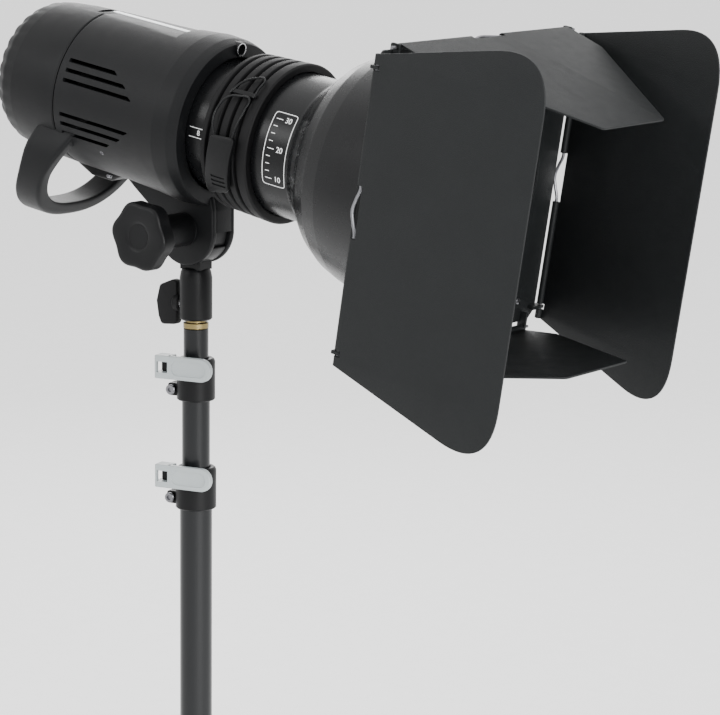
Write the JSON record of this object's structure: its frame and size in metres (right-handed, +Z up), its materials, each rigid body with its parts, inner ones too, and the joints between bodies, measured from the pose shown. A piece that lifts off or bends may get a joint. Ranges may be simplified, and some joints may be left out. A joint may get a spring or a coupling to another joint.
{
  "type": "studio flash head with barn doors on stand",
  "caption": "Studio flash head with zoom reflector and four-leaf barn doors, tilting on a light stand with sliding risers, lever clamps and folding braced legs.",
  "frame": {"origin": "centre of the flat lower end of the stand's column, on the column's axis, 30 mm above the floor when the legs are spread", "axes": "+Z up along the column; +X is the way the lamp points; +Y is the far side, so -Y is the side with the tilt knob and the reflector latch"},
  "size_m": [0.6905, 0.7936, 0.9848],
  "materials": {
    "shell": "fine textured moulded plastic",
    "dark_plastic": "dark moulded plastic",
    "silver_metal": "polished steel wire and fittings",
    "trim": "light satin label plate",
    "satin_black": "satin black anodised",
    "rubber": "black rubber",
    "powder_coat": "fine grain black powder coat",
    "clear_glass": "clear glass",
    "lamp_glass": "frosted lamp glass",
    "circuit": "circuit board",
    "lever_grey": "light grey moulded plastic",
    "brass": "brass",
    "tube_black": "satin black anodised tube",
    "screen": "dark display window"
  },
  "bodies": {
    "stand_base": {"base_tube": "tube_black", "brace_collar": "dark_plastic", "lower_clamp": "dark_plastic", "lower_clamp_bolt": "silver_metal"},
    "lower_lever": {"lower_clamp_lever": "lever_grey"},
    "middle_riser": {"middle_tube": "tube_black", "upper_clamp": "dark_plastic", "upper_clamp_bolt": "silver_metal"},
    "upper_lever": {"upper_clamp_lever": "lever_grey"},
    "top_riser": {"top_tube": "tube_black", "spigot": "brass"},
    "swivel_bracket": {"stand_bracket": "dark_plastic"},
    "socket_t_screw": {"socket_screw": "rubber"},
    "flash_head": {"main_housing": "shell", "rear_cover": "shell", "rear_panel": "dark_plastic", "power_inlet": "dark_plastic", "display_window": "screen", "sync_socket": "silver_metal", "carry_handle": "shell", "top_trim": "trim", "front_tube": "satin_black", "umbrella_tube": "silver_metal", "lamp_plate": "silver_metal", "front_glass": "clear_glass", "flash_tube": "lamp_glass", "modelling_lamp": "lamp_glass", "circuit_board": "circuit", "capacitor_bank": "dark_plastic", "tilt_bolt": "silver_metal"},
    "tilt_handwheel": {"tilt_knob": "dark_plastic"},
    "fan_rotor": {"cooling_fan": "dark_plastic"},
    "dial": {"power_dial": "dark_plastic"},
    "mode_key": {"mode_button": "lever_grey"},
    "test_key": {"test_button": "lever_grey"},
    "rocker_switch": {"power_switch": "rubber"},
    "reflector": {"reflector_shell": "satin_black", "rubber_collar": "rubber"},
    "latch": {"latch_lever": "dark_plastic"},
    "bail": {"latch_wire": "silver_metal"},
    "barn_frame": {"door_frame": "powder_coat", "hinge_rod_near": "silver_metal", "hinge_rod_far": "silver_metal", "hinge_rod_top": "silver_metal", "hinge_rod_bottom": "silver_metal"},
    "leaf_near": {"door_leaf_near": "powder_coat"},
    "leaf_far": {"door_leaf_far": "powder_coat"},
    "leaf_top": {"door_leaf_top": "powder_coat"},
    "leaf_bottom": {"door_leaf_bottom": "powder_coat"},
    "leg_slider": {"leg_collar": "dark_plastic"},
    "slider_knob": {"leg_knob": "dark_plastic"},
    "leg_1_body": {"leg_1": "tube_black", "foot_1": "rubber"},
    "brace_1_body": {"brace_1": "tube_black"},
    "leg_2_body": {"leg_2": "tube_black", "foot_2": "rubber"},
    "brace_2_body": {"brace_2": "tube_black"},
    "leg_3_body": {"leg_3": "tube_black", "foot_3": "rubber"},
    "brace_3_body": {"brace_3": "tube_black"}
  },
  "joints": [
    {"name": "leg_slide", "type": "slide", "parent": "stand_base", "child": "leg_slider", "axis": [0, 0, 1], "range_m": [0, 0.1587]},
    {"name": "leg_1_fold", "type": "hinge", "parent": "leg_slider", "child": "leg_1_body", "pos_m": [0.042, 0, 0.318], "axis": [0, 1, 0], "range_deg": [0, 50.5]},
    {"name": "brace_1_fold", "type": "hinge", "parent": "leg_1_body", "child": "brace_1_body", "pos_m": [0.20536, 0, 0.16265], "axis": [0, -1, 0], "range_deg": [0, 103.4]},
    {"name": "leg_2_fold", "type": "hinge", "parent": "leg_slider", "child": "leg_2_body", "pos_m": [-0.021, 0.03637, 0.318], "axis": [-0.866, -0.5, 0], "range_deg": [0, 50.5]},
    {"name": "brace_2_fold", "type": "hinge", "parent": "leg_2_body", "child": "brace_2_body", "pos_m": [-0.10268, 0.17785, 0.16265], "axis": [0.866, 0.5, 0], "range_deg": [0, 103.4]},
    {"name": "leg_3_fold", "type": "hinge", "parent": "leg_slider", "child": "leg_3_body", "pos_m": [-0.021, -0.03637, 0.318], "axis": [0.866, -0.5, 0], "range_deg": [0, 50.5]},
    {"name": "brace_3_fold", "type": "hinge", "parent": "leg_3_body", "child": "brace_3_body", "pos_m": [-0.10268, -0.17785, 0.16265], "axis": [-0.866, 0.5, 0], "range_deg": [0, 103.4]},
    {"name": "slider_knob_turn", "type": "hinge", "parent": "leg_slider", "child": "slider_knob", "pos_m": [0, 0, 0.318], "axis": [0.5, -0.866, 0], "range_deg": [0, 360]},
    {"name": "lower_lever_swing", "type": "hinge", "parent": "stand_base", "child": "lower_lever", "pos_m": [-0.01471, -0.01865, 0.5929], "axis": [0, 0, -1], "range_deg": [0, 90]},
    {"name": "upper_lever_swing", "type": "hinge", "parent": "middle_riser", "child": "upper_lever", "pos_m": [-0.01471, -0.01865, 0.6797], "axis": [0, 0, -1], "range_deg": [0, 90]},
    {"name": "middle_riser_slide", "type": "slide", "parent": "stand_base", "child": "middle_riser", "axis": [0, 0, 1], "range_m": [0, 0.25]},
    {"name": "top_riser_slide", "type": "slide", "parent": "middle_riser", "child": "top_riser", "axis": [0, 0, 1], "range_m": [0, 0.25]},
    {"name": "head_pan", "type": "hinge", "parent": "top_riser", "child": "swivel_bracket", "pos_m": [0, 0, 0.73], "axis": [0, 0, 1], "continuous": true},
    {"name": "socket_screw_turn", "type": "hinge", "parent": "swivel_bracket", "child": "socket_t_screw", "pos_m": [0, 0, 0.727], "axis": [-1, 0, 0], "range_deg": [0, 360]},
    {"name": "head_tilt", "type": "hinge", "parent": "swivel_bracket", "child": "flash_head", "pos_m": [0, 0, 0.788], "axis": [0, 1, 0], "range_deg": [-50, 60]},
    {"name": "tilt_knob_turn", "type": "hinge", "parent": "flash_head", "child": "tilt_handwheel", "pos_m": [0, -0.06, 0.788], "axis": [0, -1, 0], "range_deg": [0, 540]},
    {"name": "fan_spin", "type": "hinge", "parent": "flash_head", "child": "fan_rotor", "pos_m": [-0.11954, 0, 0.89372], "axis": [0.988, 0, -0.1547], "continuous": true},
    {"name": "power_dial_turn", "type": "hinge", "parent": "flash_head", "child": "dial", "pos_m": [-0.16218, 0, 0.89938], "axis": [-0.988, 0, 0.1547], "continuous": true},
    {"name": "mode_button_press", "type": "slide", "parent": "flash_head", "child": "mode_key", "axis": [0.988, 0, -0.1547], "range_m": [0, 0.0012], "stiffness_N_per_m": 400},
    {"name": "test_button_press", "type": "slide", "parent": "flash_head", "child": "test_key", "axis": [0.988, 0, -0.1547], "range_m": [0, 0.0012], "stiffness_N_per_m": 400},
    {"name": "power_switch_rock", "type": "hinge", "parent": "flash_head", "child": "rocker_switch", "pos_m": [-0.16237, 0.022, 0.88524], "axis": [0, 1, 0], "range_deg": [0, 9]},
    {"name": "reflector_zoom", "type": "slide", "parent": "flash_head", "child": "reflector", "axis": [0.988, 0, -0.1547], "range_m": [-0.016, 0.02]},
    {"name": "latch_swing", "type": "hinge", "parent": "reflector", "child": "latch", "pos_m": [0.07115, -0.05259, 0.82519], "axis": [0.988, 0, -0.1547], "range_deg": [0, 70]},
    {"name": "bail_swing", "type": "hinge", "parent": "latch", "child": "bail", "pos_m": [0.07861, -0.06311, 0.87281], "axis": [0.988, 0, -0.1547], "range_deg": [0, 70]},
    {"name": "barn_frame_turn", "type": "hinge", "parent": "reflector", "child": "barn_frame", "pos_m": [0.25104, 0, 0.83569], "axis": [0.988, 0, -0.1547], "continuous": true},
    {"name": "leaf_near_swing", "type": "hinge", "parent": "barn_frame", "child": "leaf_near", "pos_m": [0.25104, -0.1276, 0.83569], "axis": [-0.1547, 0, -0.988], "range_deg": [-35, 85]},
    {"name": "leaf_far_swing", "type": "hinge", "parent": "barn_frame", "child": "leaf_far", "pos_m": [0.25104, 0.1276, 0.83569], "axis": [0.1547, 0, 0.988], "range_deg": [-16, 104]},
    {"name": "leaf_top_swing", "type": "hinge", "parent": "barn_frame", "child": "leaf_top", "pos_m": [0.26874, 0, 0.94871], "axis": [0, 1, 0], "range_deg": [-104, 60]},
    {"name": "leaf_bottom_swing", "type": "hinge", "parent": "barn_frame", "child": "leaf_bottom", "pos_m": [0.23309, 0, 0.72108], "axis": [0, 1, 0], "range_deg": [-64, 99]}
  ],
  "couplings": [
    {"joint": "leg_1_fold", "follows": "leg_slide", "rad_per_m": 5.4983},
    {"joint": "brace_1_fold", "follows": "leg_slide", "rad_per_m": 11.255},
    {"joint": "leg_2_fold", "follows": "leg_slide", "rad_per_m": 5.4983},
    {"joint": "brace_2_fold", "follows": "leg_slide", "rad_per_m": 11.255},
    {"joint": "leg_3_fold", "follows": "leg_slide", "rad_per_m": 5.4983},
    {"joint": "brace_3_fold", "follows": "leg_slide", "rad_per_m": 11.255}
  ]
}
